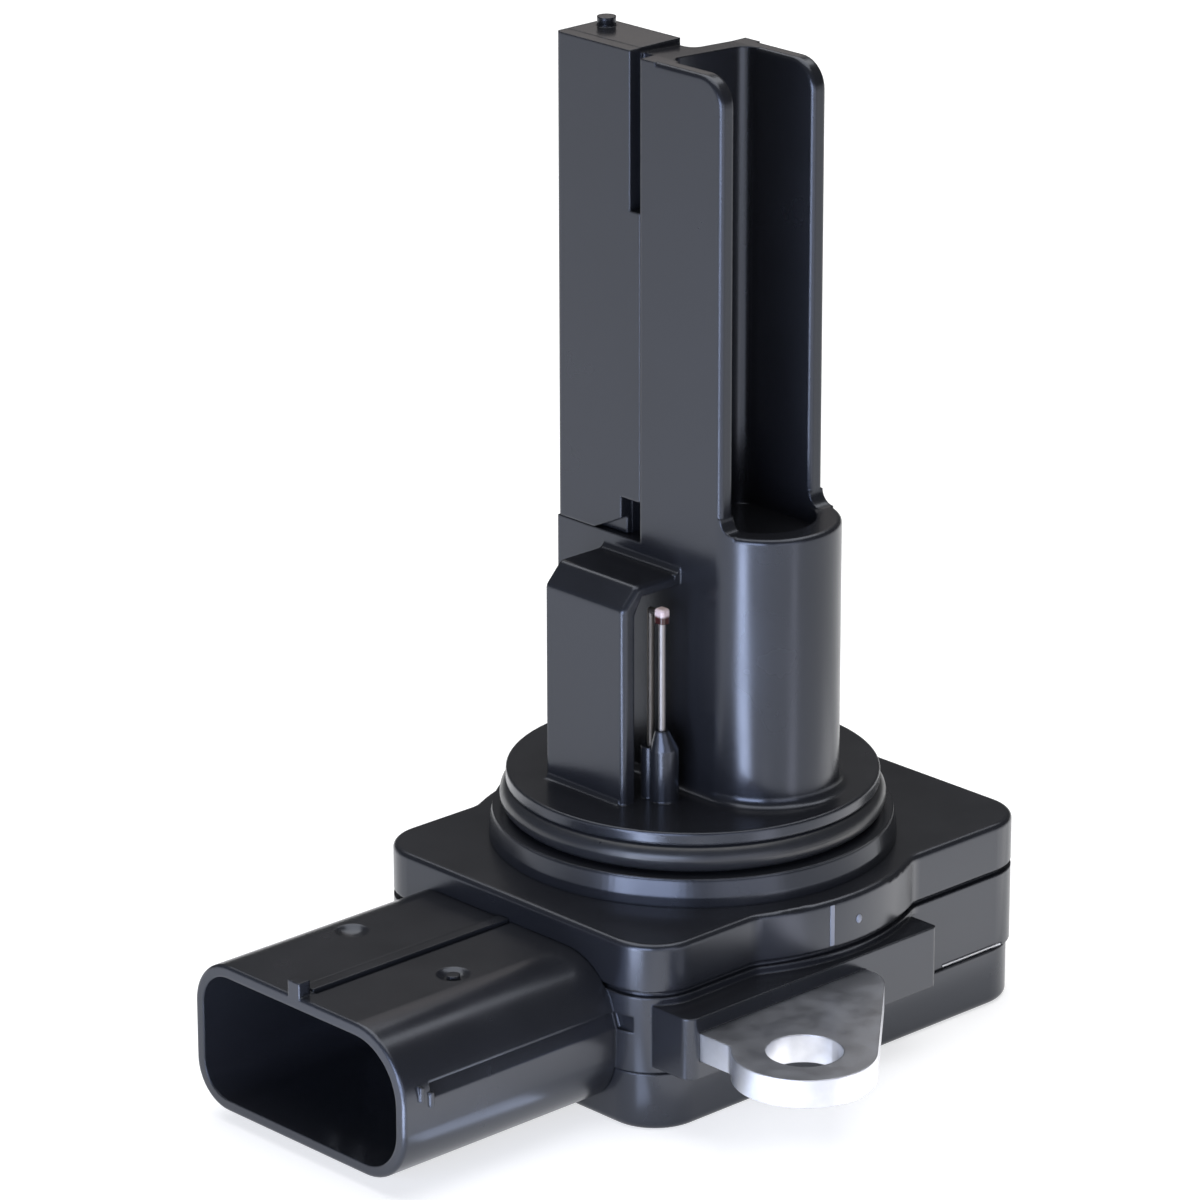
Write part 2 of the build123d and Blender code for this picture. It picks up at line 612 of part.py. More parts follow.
# -------------------------------------------------------------- passage cover
with BuildPart() as passage_cover:
    block(SLAB_FRONT, lid_back, lid_inner_y, slab_outer_y, LID_BOTTOM + LID_GAP, SLAB_TOP)
    upright = passage_cover.edges().filter_by(Axis.Z)
    outer = upright.sort_by_distance((SLAB_FRONT, slab_outer_y, SLAB_TOP / 2))[0]
    fillet(outer, SLAB_ROUND)
    # slot from the end, beside the channel
    block(SLAB_FRONT - CUT_OVER, lid_back + CUT_OVER, lid_inner_y - CUT_OVER, lid_inner_y + SLOT_WIDTH,
          SLAB_TOP - SLOT_LENGTH, SLAB_TOP + CUT_OVER, Mode.SUBTRACT)
    # snap window and the ramp that leads to it
    block(SLAB_FRONT - CUT_OVER, lid_back + CUT_OVER, lid_inner_y - CUT_OVER, lid_inner_y + WINDOW_WIDTH,
          window_bottom - CUT_OVER, window_bottom + WINDOW_HEIGHT, Mode.SUBTRACT)
    ramp_y = lid_inner_y + WINDOW_WIDTH
    with BuildSketch(Plane.YZ.offset(SLAB_FRONT)):
        with BuildLine():
            Polyline(
                (ramp_y - OVERLAP, LID_BOTTOM - OVERLAP),
                (ramp_y - OVERLAP, LID_BOTTOM + RAMP_HEIGHT),
                (ramp_y, LID_BOTTOM + RAMP_HEIGHT),
                (ramp_y + RAMP_LENGTH, LID_BOTTOM),
                (ramp_y + RAMP_LENGTH, LID_BOTTOM - OVERLAP),
                close=True,
            )
        make_face()
    extrude(amount=RAMP_DEPTH, mode=Mode.SUBTRACT)
    # tongue that fits in the passage
    gap = LID_TONGUE_CLEARANCE
    block(lid_back, lid_back + LID_TONGUE, passage_y0 + gap, passage_y1 - gap,
          PASSAGE_BOTTOM + gap, passage_top - gap)
    edge = gap + LID_TONGUE_WALL
    block(lid_back, lid_back + LID_TONGUE, passage_y0 + edge, passage_y1 - edge,
          PASSAGE_BOTTOM + edge, passage_top - edge, Mode.SUBTRACT)
passage_cover.part.label = "passage_cover"

# --------------------------------------------------------------------- O-ring
with BuildPart() as o_ring:
    with BuildSketch(Plane.XZ):
        with Locations((RING_OUTER_RADIUS - RING_SECTION / 2, SHOULDER_HEIGHT + groove_width / 2)):
            Circle(RING_SECTION / 2)
    revolve(axis=Axis.Z)
o_ring.part.label = "o_ring"


# ----------------------------------------------------------------------- ears
def ear_outline(grow=0.0):
    """Ear in plan: anchored strip, slanted side and ring round the hole."""
    straight_x = ear_hole_x - EAR_SIDE - grow
    far_x = ear_hole_x - EAR_SIDE + EAR_WIDTH + grow
    inner_y = -block_face + EAR_ANCHOR + grow
    radius = EAR_RING_RADIUS + grow
    slant = radians(EAR_SLANT)
    touch_x = ear_hole_x + radius * sin(slant)
    touch_y = ear_hole_y - radius * cos(slant)
    bend_y = touch_y + (far_x - touch_x) * tan(slant)
    with BuildSketch() as outline:
        with BuildLine():
            Polyline(
                (straight_x, inner_y),
                (far_x, inner_y),
                (far_x, bend_y),
                (touch_x, touch_y),
                (ear_hole_x, ear_hole_y),
                (straight_x, ear_hole_y),
                close=True,
            )
        make_face()
        with Locations((ear_hole_x, ear_hole_y)):
            Circle(radius)
        bend = outline.vertices().sort_by_distance((far_x, bend_y, 0))[0]
        fillet(bend, EAR_BEND)
        notch = outline.vertices().sort_by_distance((straight_x, ear_hole_y + radius, 0))[0]
        fillet(notch, EAR_NOTCH_FILLET)
    return outline.sketch


with BuildPart() as ear_front:
    with BuildSketch(Plane.XY.offset(ear_top)):
        add(ear_outline())
        with Locations((ear_hole_x, ear_hole_y)):
            Circle(EAR_HOLE_DIAMETER / 2, mode=Mode.SUBTRACT)
    extrude(amount=-EAR_THICKNESS)
ear_front.part.label = "ear_front"

with BuildPart() as ear_rear:
    add(ear_front.part.rotate(Axis.Z, 180))
ear_rear.part.label = "ear_rear"

# -------------------------------------------------------------------- housing
with BuildPart() as ear_block:
    with BuildSketch(Plane.XY.offset(housing_top - HOUSING_RIM)):
        with Locations(((block_minus_x + block_plus_x) / 2, -(block_face + block_root) / 2)):
            Rectangle(EAR_BLOCK_LENGTH, block_face - block_root)
    extrude(amount=-EAR_BLOCK_HEIGHT)
    corners = ear_block.edges().filter_by(Axis.Z).group_by(Axis.Y)[0].sort_by(Axis.X)
    fillet(corners[0], EAR_BLOCK_ROUND)
    fillet(ear_block.edges().filter_by(Axis.Z).group_by(Axis.Y)[0].sort_by(Axis.X)[-1], EAR_BLOCK_FAR_ROUND)

with BuildPart() as ear_slot:
    with BuildSketch(Plane.XY.offset(ear_top + EAR_CLEARANCE)):
        add(ear_outline(EAR_CLEARANCE))
    extrude(amount=-EAR_THICKNESS - 2 * EAR_CLEARANCE)

with BuildPart() as housing:
    with BuildSketch(Plane.XY.offset(housing_top)):
        add(lobed_outline(SEAM_GROOVE_DEPTH))
    extrude(amount=-SEAM_GROOVE_HEIGHT)
    with BuildSketch(Plane.XY.offset(housing_top - SEAM_GROOVE_HEIGHT)):
        add(lobed_outline())
    extrude(amount=SEAM_GROOVE_HEIGHT - HOUSING_RIM)
    with BuildSketch(Plane.XY.offset(housing_top - SEAM_GROOVE_HEIGHT)):
        add(body_outline())
    extrude(amount=SEAM_GROOVE_HEIGHT - HOUSING_HEIGHT)
    add(ear_block.part)
    add(ear_block.part.rotate(Axis.Z, 180))
    with BuildSketch(shroud_plane(plate_minus_x - SHROUD_GAP)):
        add(shroud_section())
    extrude(amount=SHROUD_LENGTH - SHROUD_GAP)
    rim = housing.faces().sort_by(Axis.X)[0].edges()
    fillet(rim, MOUTH_ROUND)
    with BuildSketch(shroud_plane(socket_floor)):
        add(shroud_section(SHROUD_WALL))
    extrude(amount=SOCKET_DEPTH + CUT_OVER, mode=Mode.SUBTRACT)
    # short neck that joins the shroud to the housing's end wall
    neck = SHROUD_WIDTH / 2 - CORNER_MINUS_TOP
    block(plate_minus_x - SHROUD_GAP - OVERLAP, plate_minus_x + SEAM_GROOVE_DEPTH + OVERLAP, -neck, neck,
          housing_bottom + NECK_INSET, housing_top - SEAM_GROOVE_HEIGHT)
    # key rib between two grooves, and lug
    for side in (-1, 1):
        groove_y = KEY_RIB_Y + side * (KEY_RIB_WIDTH + KEY_GROOVE_WIDTH) / 2
        block(shroud_mouth + KEY_RIB_SETBACK, plate_minus_x - SHROUD_GAP, groove_y - KEY_GROOVE_WIDTH / 2,
              groove_y + KEY_GROOVE_WIDTH / 2, shroud_top - KEY_GROOVE_DEPTH, shroud_top + CUT_OVER,
              Mode.SUBTRACT)
    block(shroud_mouth + KEY_RIB_SETBACK, plate_minus_x - SHROUD_GAP, KEY_RIB_Y - KEY_RIB_WIDTH / 2,
          KEY_RIB_Y + KEY_RIB_WIDTH / 2, shroud_top - SHROUD_WALL / 2, shroud_top + KEY_RIB_HEIGHT)
    block(shroud_mouth, shroud_mouth + LUG_LENGTH, LUG_Y - LUG_WIDTH / 2, LUG_Y + LUG_WIDTH / 2,
          shroud_top - SHROUD_WALL / 2, shroud_top + LUG_HEIGHT)
    # two shallow round dimples, one with a pin mark
    pocket_x = shroud_mouth + POCKET_SETBACK
    dimple = ((POCKET_DIAMETER / 2) ** 2 + POCKET_DEPTH**2) / (2 * POCKET_DEPTH)
    with Locations((pocket_x, POCKET_PLUS_Y, shroud_top - POCKET_DEPTH + dimple),
                   (pocket_x, POCKET_MINUS_Y, shroud_top - POCKET_DEPTH + dimple)):
        Sphere(dimple, mode=Mode.SUBTRACT)
    with Locations((pocket_x, POCKET_MINUS_Y, shroud_top - POCKET_PIN_DROP - POCKET_DEPTH / 2)):
        Cylinder(POCKET_PIN_DIAMETER / 2, POCKET_DEPTH)
    # cavity for the board, with a shelf under it
    with BuildSketch(Plane.XY.offset(board_bottom)):
        with Locations((PLATE_OFFSET, 0)):
            RectangleRounded(cavity_plus_x - cavity_minus_x, 2 * cavity_side, cavity_corner)
    extrude(amount=housing_top - board_bottom + CUT_OVER, mode=Mode.SUBTRACT)
    with BuildSketch(Plane.XY.offset(board_bottom)):
        with Locations((PLATE_OFFSET, 0)):
            RectangleRounded(
                cavity_plus_x - cavity_minus_x - 2 * SHELF_WIDTH,
                2 * (cavity_side - SHELF_WIDTH),
                cavity_corner,
            )
    extrude(amount=-HOUSING_HEIGHT, mode=Mode.SUBTRACT)
    # side groove of the shroud, deepest under its upper edge, run on into the housing's corner
    rail_z = shroud_top - RAIL_DROP
    rail_y = SHROUD_WIDTH / 2
    with BuildSketch(Plane.YZ.offset(shroud_mouth + RAIL_SETBACK)):
        with BuildLine():
            Polyline(
                (-rail_y + RAIL_DEPTH, rail_z),
                (-rail_y, rail_z - RAIL_HEIGHT),
                (-plate_side, rail_z - RAIL_HEIGHT),
                (-plate_side, rail_z),
                close=True,
            )
        make_face()
    extrude(amount=SHROUD_LENGTH - RAIL_SETBACK + RAIL_RUN_ON, mode=Mode.SUBTRACT)
    # two small nibs at the groove's end
    nib_x = shroud_mouth + RAIL_SETBACK - NIB_STAGGER
    for step in (0, 1):
        x = nib_x + step * NIB_STAGGER
        top = rail_z - step * NIB_DROP
        block(x - NIB_SIZE / 2, x + NIB_SIZE / 2, -rail_y - NIB_SIZE / 2, -rail_y + SHROUD_WALL / 2,
              top - NIB_HEIGHT, top)
    # seal groove in the top face
    with BuildSketch(Plane.XY.offset(housing_top)):
        add(frame_outline(SEAL_INSET, SEAL_WIDTH))
    extrude(amount=-SEAL_HEIGHT, mode=Mode.SUBTRACT)
    # narrow opening above the cover
    notch_x = plate_plus_x - NOTCH_INSET
    block(notch_x - NOTCH_LENGTH, notch_x, -plate_side - CUT_OVER, -plate_side + NOTCH_DEPTH,
          housing_bottom + NOTCH_RISE, housing_bottom + NOTCH_RISE + NOTCH_HEIGHT, Mode.SUBTRACT)
    # slots for the ears
    add(ear_slot.part, mode=Mode.SUBTRACT)
    add(ear_slot.part.rotate(Axis.Z, 180), mode=Mode.SUBTRACT)
    # terminal holes
    with GridLocations(0, TERMINAL_SPACING, 1, TERMINAL_COUNT):
        with Locations(((socket_floor + cavity_minus_x) / 2, 0, shroud_middle)):
            Box(cavity_minus_x - socket_floor + 2 * CUT_OVER, TERMINAL_WIDTH + 2 * TERMINAL_CLEARANCE,
                TERMINAL_THICKNESS + 2 * TERMINAL_CLEARANCE, mode=Mode.SUBTRACT)
housing.part.label = "housing"

# ---------------------------------------------------------------- lower cover
with BuildPart() as bottom_cover:
    with BuildSketch(Plane.XY.offset(housing_bottom)):
        add(body_outline(COVER_PROUD, COVER_END_INSET))
    extrude(amount=-COVER_HEIGHT)
    fillet(bottom_cover.faces().sort_by(Axis.Z)[0].edges(), COVER_EDGE)
    with BuildSketch(Plane.XY.offset(housing_bottom)):
        with Locations((PLATE_OFFSET, 0)):
            RectangleRounded(PLATE_LENGTH - 2 * COVER_WALL, PLATE_WIDTH - 2 * COVER_WALL,
                             max(PLATE_CORNER - COVER_WALL, LEAST_CORNER))
    extrude(amount=COVER_FLOOR - COVER_HEIGHT, mode=Mode.SUBTRACT)
    with BuildSketch(Plane.XY.offset(housing_bottom)):
        add(frame_outline(SEAL_INSET, SEAL_WIDTH))
    extrude(amount=-SEAL_HEIGHT, mode=Mode.SUBTRACT)
bottom_cover.part.label = "bottom_cover"


def seal(level):
    """Sealant bead that lies in a groove open towards +Z at the level."""
    with BuildPart() as bead:
        with BuildSketch(Plane.XY.offset(level - SEAL_CLEARANCE)):
            add(frame_outline(SEAL_INSET + SEAL_CLEARANCE, SEAL_WIDTH - 2 * SEAL_CLEARANCE))
        extrude(amount=-SEAL_HEIGHT + 2 * SEAL_CLEARANCE)
    return bead.part


upper_seal = seal(housing_top)
upper_seal.label = "upper_seal"
lower_seal = seal(housing_bottom)
lower_seal.label = "lower_seal"

# -------------------------------------------------------------- circuit board
with BuildPart() as circuit_board:
    with BuildSketch(Plane.XY.offset(board_bottom)):
        with Locations((PLATE_OFFSET, 0)):
            RectangleRounded(
                cavity_plus_x - cavity_minus_x - 2 * BOARD_CLEARANCE,
                2 * (cavity_side - BOARD_CLEARANCE),
                cavity_corner,
            )
    extrude(amount=BOARD_THICKNESS)
circuit_board.part.label = "circuit_board"


def chip(x, y, length, width, height, name):
    """Plain component that stands on the board."""
    with BuildPart() as component:
        with BuildSketch(Plane.XY.offset(board_top)):
            with Locations((x, y)):
                Rectangle(length, width)
        extrude(amount=height)
        chamfer(component.faces().sort_by(Axis.Z)[-1].edges(), COMPONENT_BEVEL_SHARE * height)
    component.part.label = name
    return component.part


components = [
    chip(CHIP_X, CHIP_Y, CHIP_SIZE, CHIP_SIZE, CHIP_HEIGHT, "control_chip"),
    chip(REGULATOR_X, REGULATOR_Y, REGULATOR_LENGTH, REGULATOR_WIDTH, REGULATOR_HEIGHT, "regulator"),
    chip(CAPACITOR_X, CAPACITOR_Y, CAPACITOR_LENGTH, CAPACITOR_WIDTH, CAPACITOR_HEIGHT, "capacitor_a"),
    chip(CAPACITOR_X, -CAPACITOR_Y, CAPACITOR_LENGTH, CAPACITOR_WIDTH, CAPACITOR_HEIGHT, "capacitor_b"),
]

# ------------------------------------------------------- flow element's strip
with BuildPart() as element_carrier:
    with BuildSketch(Plane.XY.offset(board_top)):
        with Locations((carrier_x, passage_mid_y)):
            Rectangle(CARRIER_THICKNESS, CARRIER_WIDTH)
    extrude(amount=carrier_top - board_top)
element_carrier.part.label = "element_carrier"

with BuildPart() as flow_element:
    element_x = carrier_x + CARRIER_THICKNESS / 2
    element_z = carrier_top - ELEMENT_SETBACK - ELEMENT_SIZE
    block(element_x, element_x + ELEMENT_THICKNESS, passage_mid_y - ELEMENT_SIZE / 2,
          passage_mid_y + ELEMENT_SIZE / 2, element_z, element_z + ELEMENT_SIZE)
flow_element.part.label = "flow_element"


# ------------------------------------------------------------------ terminals
def terminal(index):
    """Flat pin from the socket, through the end wall, on to the board."""
    y = (index - (TERMINAL_COUNT - 1) / 2) * TERMINAL_SPACING
    with BuildPart() as pin:
        block(shroud_mouth + TERMINAL_SETBACK, cavity_minus_x + TERMINAL_LANDING, y - TERMINAL_WIDTH / 2,
              y + TERMINAL_WIDTH / 2, terminal_bottom, terminal_bottom + TERMINAL_THICKNESS)
        chamfer(pin.faces().sort_by(Axis.X)[0].edges(), TERMINAL_TIP_BEVEL)
    pin.part.label = f"terminal_{index + 1}"
    return pin.part


terminals = [terminal(index) for index in range(TERMINAL_COUNT)]


# ------------------------------------------------------ air-temperature bead
def lead(x, y, top, name):
    """Straight wire from the board up to the bead."""
    with BuildPart() as wire:
        with BuildSketch(Plane.XY.offset(board_top)):
            with Locations((x, y)):
                Circle(LEAD_DIAMETER / 2)
        extrude(amount=top - board_top)
    wire.part.label = name
    return wire.part


with BuildPart() as thermistor_bead:
    with BuildSketch(Plane.XY.offset(BEAD_BOTTOM)):
        with Locations((LEAD_A_X, LEAD_A_Y)):
            RectangleRounded(BEAD_DEPTH, BEAD_WIDTH, BEAD_SIDE_ROUND)
    extrude(amount=BEAD_LENGTH)
    fillet(thermistor_bead.faces().sort_by(Axis.Z)[-1].edges(), BEAD_ROUND)
thermistor_bead.part.label = "thermistor_bead"

lead_a = lead(LEAD_A_X, LEAD_A_Y, BEAD_BOTTOM, "thermistor_lead_a")
# the second wire turns across to the bead's side
link_z = BEAD_BOTTOM + BEAD_LENGTH - LEAD_LINK_DROP
with BuildPart() as lead_b:
    add(lead(LEAD_B_X, LEAD_B_Y, link_z, "upright"))
    with BuildSketch(Plane.XZ.offset(-LEAD_B_Y)):
        with Locations((LEAD_B_X, link_z)):
            Circle(LEAD_DIAMETER / 2)
    extrude(amount=LEAD_B_Y - LEAD_A_Y - BEAD_WIDTH / 2)
    with Locations((LEAD_B_X, LEAD_B_Y, link_z)):
        Sphere(LEAD_DIAMETER / 2)
lead_b.part.label = "thermistor_lead_b"

os.makedirs("parts", exist_ok=True)
export_step(duct_body.part, "parts/duct_body.step")
export_step(passage_cover.part, "parts/passage_cover.step")
export_step(o_ring.part, "parts/o_ring.step")
export_step(ear_front.part, "parts/ear_front.step")
export_step(ear_rear.part, "parts/ear_rear.step")
export_step(housing.part, "parts/housing.step")
export_step(bottom_cover.part, "parts/bottom_cover.step")
export_step(upper_seal, "parts/upper_seal.step")
export_step(lower_seal, "parts/lower_seal.step")
export_step(circuit_board.part, "parts/circuit_board.step")
export_step(element_carrier.part, "parts/element_carrier.step")
export_step(flow_element.part, "parts/flow_element.step")
export_step(thermistor_bead.part, "parts/thermistor_bead.step")
for piece in components + terminals + [lead_a, lead_b.part]:
    export_step(piece, f"parts/{piece.label}.step")
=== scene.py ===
"""Dressed model of a plug-in mass airflow sensor, built on its CAD frame.

Lengths are in metres. +Z runs out along the probe, -X is the way the connector points,
and the origin is the spigot's axis on the seating face of the flange plate.
"""

import json
import logging
import math
from dataclasses import dataclass, field
from enum import Enum

import bmesh
import bpy
from mathutils import Matrix, Vector

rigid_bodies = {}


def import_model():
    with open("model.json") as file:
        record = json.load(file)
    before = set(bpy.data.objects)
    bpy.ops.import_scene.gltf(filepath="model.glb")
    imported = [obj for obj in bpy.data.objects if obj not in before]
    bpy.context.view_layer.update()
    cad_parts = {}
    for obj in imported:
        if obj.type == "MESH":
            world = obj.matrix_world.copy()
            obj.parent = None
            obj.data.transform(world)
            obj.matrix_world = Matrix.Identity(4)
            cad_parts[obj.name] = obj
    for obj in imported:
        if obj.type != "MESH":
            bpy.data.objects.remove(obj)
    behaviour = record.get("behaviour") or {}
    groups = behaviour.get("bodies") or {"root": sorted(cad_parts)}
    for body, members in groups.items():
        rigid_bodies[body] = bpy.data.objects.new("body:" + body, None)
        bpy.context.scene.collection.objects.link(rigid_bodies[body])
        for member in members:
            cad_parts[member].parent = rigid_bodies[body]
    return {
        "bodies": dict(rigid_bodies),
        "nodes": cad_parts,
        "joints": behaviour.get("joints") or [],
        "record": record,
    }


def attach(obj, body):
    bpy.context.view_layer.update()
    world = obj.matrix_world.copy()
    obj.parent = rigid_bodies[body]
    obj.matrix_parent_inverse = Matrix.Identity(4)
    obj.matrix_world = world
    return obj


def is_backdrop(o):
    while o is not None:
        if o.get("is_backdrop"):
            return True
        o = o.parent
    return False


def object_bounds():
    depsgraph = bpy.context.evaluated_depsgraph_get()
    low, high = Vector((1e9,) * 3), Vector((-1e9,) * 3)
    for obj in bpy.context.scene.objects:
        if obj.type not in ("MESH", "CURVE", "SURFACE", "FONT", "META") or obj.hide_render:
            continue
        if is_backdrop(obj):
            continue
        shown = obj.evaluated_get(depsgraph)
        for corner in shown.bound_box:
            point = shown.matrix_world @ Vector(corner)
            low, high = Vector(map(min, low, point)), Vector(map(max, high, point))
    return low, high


LOG = logging.getLogger("airflow_sensor")
MM = 0.001
# Most values of a noise pattern lie between these two.
NOISE_LOW, NOISE_HIGH = 0.3, 0.7
# Rays by which a finish rounds off the sharp edges of its piece.
EDGE_SAMPLES = 6
MERGE_DISTANCE = 0.0005 * MM


# ------------------------------------------------------------------ helpers
def linear(hex_colour: str) -> tuple[float, float, float, float]:
    """Turn an sRGB hex colour into the linear colour that shaders take.

    Args:
        hex_colour: Six hex digits, with or without a leading hash sign.

    Returns:
        Linear red, green and blue, and an alpha of one.
    """
    digits = hex_colour.lstrip("#")
    channels = []
    for start in (0, 2, 4):
        value = int(digits[start:start + 2], 16) / 255
        # The sRGB curve: straight in the darkest tones, a power above them.
        channels.append(value / 12.92 if value <= 0.04045 else ((value + 0.055) / 1.055) ** 2.4)
    return (channels[0], channels[1], channels[2], 1.0)


def add_node(tree: bpy.types.NodeTree, kind: str, settings: dict | None = None,
             inputs: dict | None = None) -> bpy.types.Node:
    """Add one node to a tree, with its settings, its input values and its incoming links.

    Args:
        tree: Node tree that receives the node.
        kind: Class name of the node, such as ShaderNodeTexNoise.
        settings: Attributes of the node and their values.
        inputs: Input sockets by name or index. A socket as value makes a link.

    Returns:
        The new node.
    """
    node = tree.nodes.new(kind)
    for name, value in (settings or {}).items():
        setattr(node, name, value)
    for name, value in (inputs or {}).items():
        if isinstance(value, bpy.types.NodeSocket):
            tree.links.new(value, node.inputs[name])
        else:
            node.inputs[name].default_value = value
    return node


def new_material(name: str) -> tuple[bpy.types.Material, bpy.types.NodeTree, bpy.types.Node]:
    """Make an empty node material with an output node.

    Args:
        name: Name of the material.

    Returns:
        The material, its node tree and its output node.
    """
    material = bpy.data.materials.new(name)
    material.use_nodes = True
    tree = material.node_tree
    tree.nodes.clear()
    output = tree.nodes.new("ShaderNodeOutputMaterial")
    return material, tree, output


# ------------------------------------------------------------------ finishes
@dataclass(frozen=True)
class SatinPlastic:
    """Glass-filled PBT, injection moulded.

    It gives the eye a satin black with a faint flow pattern, a fine grain and soft bright edges.
    """

    name: str = "satin_black_pbt"
    colour: str = "#1c1d20"
    flow_colour: str = "#232428"
    gloss_tint: str = "#e9f0ff"
    roughness: float = 0.2
    roughness_spread: float = 0.08
    grain_size: float = 0.35 * MM
    flow_size: float = 9.0 * MM
    edge_radius: float = 0.25 * MM
    grain_height: float = 0.004 * MM
    grain_strength: float = 0.6
    ior: float = 1.57

    def build(self) -> bpy.types.Material:
        """Build the material."""
        material, tree, output = new_material(self.name)
        place = add_node(tree, "ShaderNodeTexCoord").outputs["Object"]
        flow = add_node(tree, "ShaderNodeTexNoise", {},
                        {"Vector": place, "Scale": 1 / self.flow_size,
                         "Detail": 4.0, "Roughness": 0.55})
        grain = add_node(tree, "ShaderNodeTexNoise", {},
                         {"Vector": place, "Scale": 1 / self.grain_size,
                          "Detail": 3.0, "Roughness": 0.6})
        colour = add_node(tree, "ShaderNodeMix", {"data_type": "RGBA"},
                          {0: flow.outputs["Fac"], 6: linear(self.colour),
                           7: linear(self.flow_colour)})
        rough = add_node(tree, "ShaderNodeMapRange", {},
                         {"Value": flow.outputs["Fac"], "From Min": NOISE_LOW,
                          "From Max": NOISE_HIGH, "To Min": self.roughness,
                          "To Max": self.roughness + self.roughness_spread})
        soft_edge = add_node(tree, "ShaderNodeBevel", {"samples": EDGE_SAMPLES},
                             {"Radius": self.edge_radius})
        bump = add_node(tree, "ShaderNodeBump", {},
                        {"Height": grain.outputs["Fac"], "Distance": self.grain_height,
                         "Strength": self.grain_strength, "Normal": soft_edge.outputs["Normal"]})
        shader = add_node(tree, "ShaderNodeBsdfPrincipled", {},
                          {"Base Color": colour.outputs[2], "Roughness": rough.outputs["Result"],
                           "IOR": self.ior, "Specular Tint": linear(self.gloss_tint),
                           "Normal": bump.outputs["Normal"]})
        tree.links.new(shader.outputs["BSDF"], output.inputs["Surface"])
        return material


@dataclass(frozen=True)
class SealRubber:
    """Moulded fluorocarbon rubber.

    It gives the eye a soft black, a little oily, with a fine bloom that breaks up the gloss.
    """

    name: str = "black_seal_rubber"
    colour: str = "#27282b"
    roughness: float = 0.28
    roughness_below: float = 0.06
    roughness_above: float = 0.16
    bloom_size: float = 1.2 * MM
    bloom_height: float = 0.01 * MM
    bloom_strength: float = 0.4
    ior: float = 1.5

    def build(self) -> bpy.types.Material:
        """Build the material."""
        material, tree, output = new_material(self.name)
        place = add_node(tree, "ShaderNodeTexCoord").outputs["Object"]
        bloom = add_node(tree, "ShaderNodeTexNoise", {},
                         {"Vector": place, "Scale": 1 / self.bloom_size, "Detail": 5.0})
        rough = add_node(tree, "ShaderNodeMapRange", {},
                         {"Value": bloom.outputs["Fac"],
                          "To Min": self.roughness - self.roughness_below,
                          "To Max": self.roughness + self.roughness_above})
        bump = add_node(tree, "ShaderNodeBump", {},
                        {"Height": bloom.outputs["Fac"], "Distance": self.bloom_height,
                         "Strength": self.bloom_strength})
        shader = add_node(tree, "ShaderNodeBsdfPrincipled", {},
                          {"Base Color": linear(self.colour), "Roughness": rough.outputs["Result"],
                           "IOR": self.ior, "Normal": bump.outputs["Normal"]})
        tree.links.new(shader.outputs["BSDF"], output.inputs["Surface"])
        return material


@dataclass(frozen=True)
class ZincPlate:
    """Stamped steel, bright zinc plated.

    It gives the eye a pale, faintly cloudy metal that is brightest on its sheared edges.
    """

    name: str = "bright_zinc_plated_steel"
    colour: str = "#cfd1d6"
    cloud_colour: str = "#a9acb4"
    roughness: float = 0.3
    roughness_spread: float = 0.16
    cloud_size: float = 3.0 * MM
    cloud_height: float = 0.02 * MM
    cloud_strength: float = 0.35
    edge_radius: float = 0.16 * MM

    def build(self) -> bpy.types.Material:
        """Build the material."""
        material, tree, output = new_material(self.name)
        place = add_node(tree, "ShaderNodeTexCoord").outputs["Object"]
        cloud = add_node(tree, "ShaderNodeTexNoise", {},
                         {"Vector": place, "Scale": 1 / self.cloud_size,
                          "Detail": 6.0, "Roughness": 0.65})
        colour = add_node(tree, "ShaderNodeMix", {"data_type": "RGBA"},
                          {0: cloud.outputs["Fac"], 6: linear(self.colour),
                           7: linear(self.cloud_colour)})
        rough = add_node(tree, "ShaderNodeMapRange", {},
                         {"Value": cloud.outputs["Fac"], "From Min": NOISE_LOW,
                          "From Max": NOISE_HIGH, "To Min": self.roughness,
                          "To Max": self.roughness + self.roughness_spread})
        soft_edge = add_node(tree, "ShaderNodeBevel", {"samples": EDGE_SAMPLES},
                             {"Radius": self.edge_radius})
        bump = add_node(tree, "ShaderNodeBump", {},
                        {"Height": cloud.outputs["Fac"], "Distance": self.cloud_height,
                         "Strength": self.cloud_strength, "Normal": soft_edge.outputs["Normal"]})
        shader = add_node(tree, "ShaderNodeBsdfPrincipled", {},
                          {"Base Color": colour.outputs[2], "Metallic": 1.0,
                           "Roughness": rough.outputs["Result"], "Normal": bump.outputs["Normal"]})
        tree.links.new(shader.outputs["BSDF"], output.inputs["Surface"])
        return material


